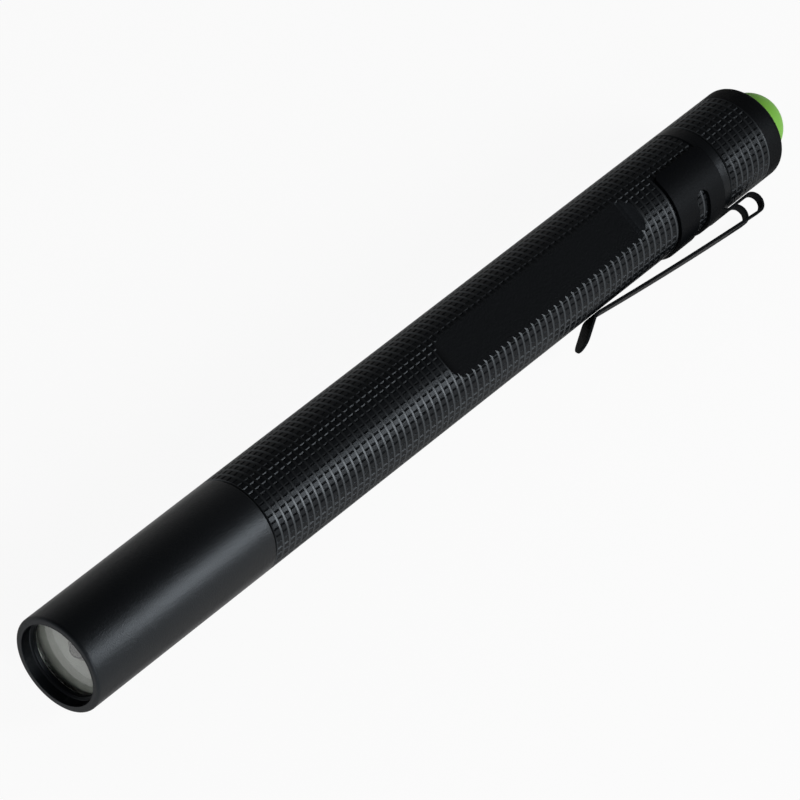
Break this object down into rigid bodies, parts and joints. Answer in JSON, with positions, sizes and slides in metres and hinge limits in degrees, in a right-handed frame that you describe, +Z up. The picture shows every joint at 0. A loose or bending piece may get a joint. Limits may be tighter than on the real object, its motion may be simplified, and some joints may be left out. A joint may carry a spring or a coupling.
{
  "type": "penlight",
  "caption": "Slim black pen torch with a smooth head, a grooved barrel with a flat panel, a sprung pocket clip, a screw-off tail cap and a green rubber push button.",
  "frame": {"origin": "on the tube's axis, in the plane of the front rim", "axes": "+X along the tube from the front rim to the tail button, +Z up as the torch lies on a table with its clip's edge on it, the flat panel up and towards -Y, the clip down and towards -Y"},
  "size_m": [0.1441, 0.0168, 0.0143],
  "materials": {
    "anodised_black": "satin black anodised",
    "clip_black": "satin black coated spring steel",
    "lens_clear": "clear and polished",
    "reflector_silver": "smooth bright metallised",
    "led_yellow": "phosphor under a clear dome",
    "white_plastic": "moulded",
    "board_white": "white solder mask on a metal core",
    "wire_red": "insulated wire",
    "bare_aluminium": "turned, bare",
    "board_green": "green solder mask",
    "chip_black": "moulded",
    "tan_plastic": "moulded",
    "contact_brass": "bright",
    "spring_steel": "bright wire",
    "cell_jacket": "satin sleeve",
    "seal_rubber": "matte",
    "button_green": "matte moulded rubber"
  },
  "bodies": {
    "barrel": {"head_shell": "anodised_black", "lens": "lens_clear", "lens_seal": "seal_rubber", "reflector": "reflector_silver", "led_emitter": "led_yellow", "led_gasket": "white_plastic", "led_board": "board_white", "led_wires": "wire_red", "heat_sink_pill": "bare_aluminium", "driver_board": "board_green", "driver_components": "chip_black", "contact_insulator": "tan_plastic", "positive_spring": "contact_brass", "head_o_ring": "seal_rubber", "barrel": "anodised_black", "front_cell": "cell_jacket", "rear_cell": "cell_jacket", "clip_band": "clip_black", "tail_o_ring": "seal_rubber"},
    "clip_arm": {"clip_arm": "clip_black"},
    "tail_slide": {"negative_spring": "spring_steel"},
    "tail_cap": {"tail_cap": "anodised_black", "retaining_ring": "bare_aluminium", "switch_carrier": "tan_plastic", "switch_body": "chip_black", "switch_terminals": "contact_brass", "switch_board": "board_green", "switch_spring": "spring_steel"},
    "button": {"switch_plunger": "white_plastic", "button_boot": "button_green"}
  },
  "joints": [
    {"name": "clip_flex", "type": "hinge", "parent": "barrel", "child": "clip_arm", "pos_m": [0.1313, -0.00734, -0.00415], "axis": [0, -0.4923, 0.8704], "range_deg": [0, 8], "stiffness_Nm_per_rad": 0.5, "springref_deg": -2.86},
    {"name": "tail_travel", "type": "slide", "parent": "barrel", "child": "tail_slide", "axis": [1, 0, 0], "range_m": [0, 0.005]},
    {"name": "tail_turn", "type": "hinge", "parent": "tail_slide", "child": "tail_cap", "pos_m": [0.1385, 0, 0], "axis": [1, 0, 0], "range_deg": [0, 1802]},
    {"name": "button_press", "type": "slide", "parent": "tail_cap", "child": "button", "axis": [-1, 0, 0], "range_m": [0, 0.0015], "stiffness_N_per_m": 1500, "springref_m": -0.0005, "deforming": ["button_boot", "switch_spring"]}
  ],
  "couplings": [
    {"joint": "tail_turn", "follows": "tail_travel", "rad_per_m": 6283.2}
  ]
}
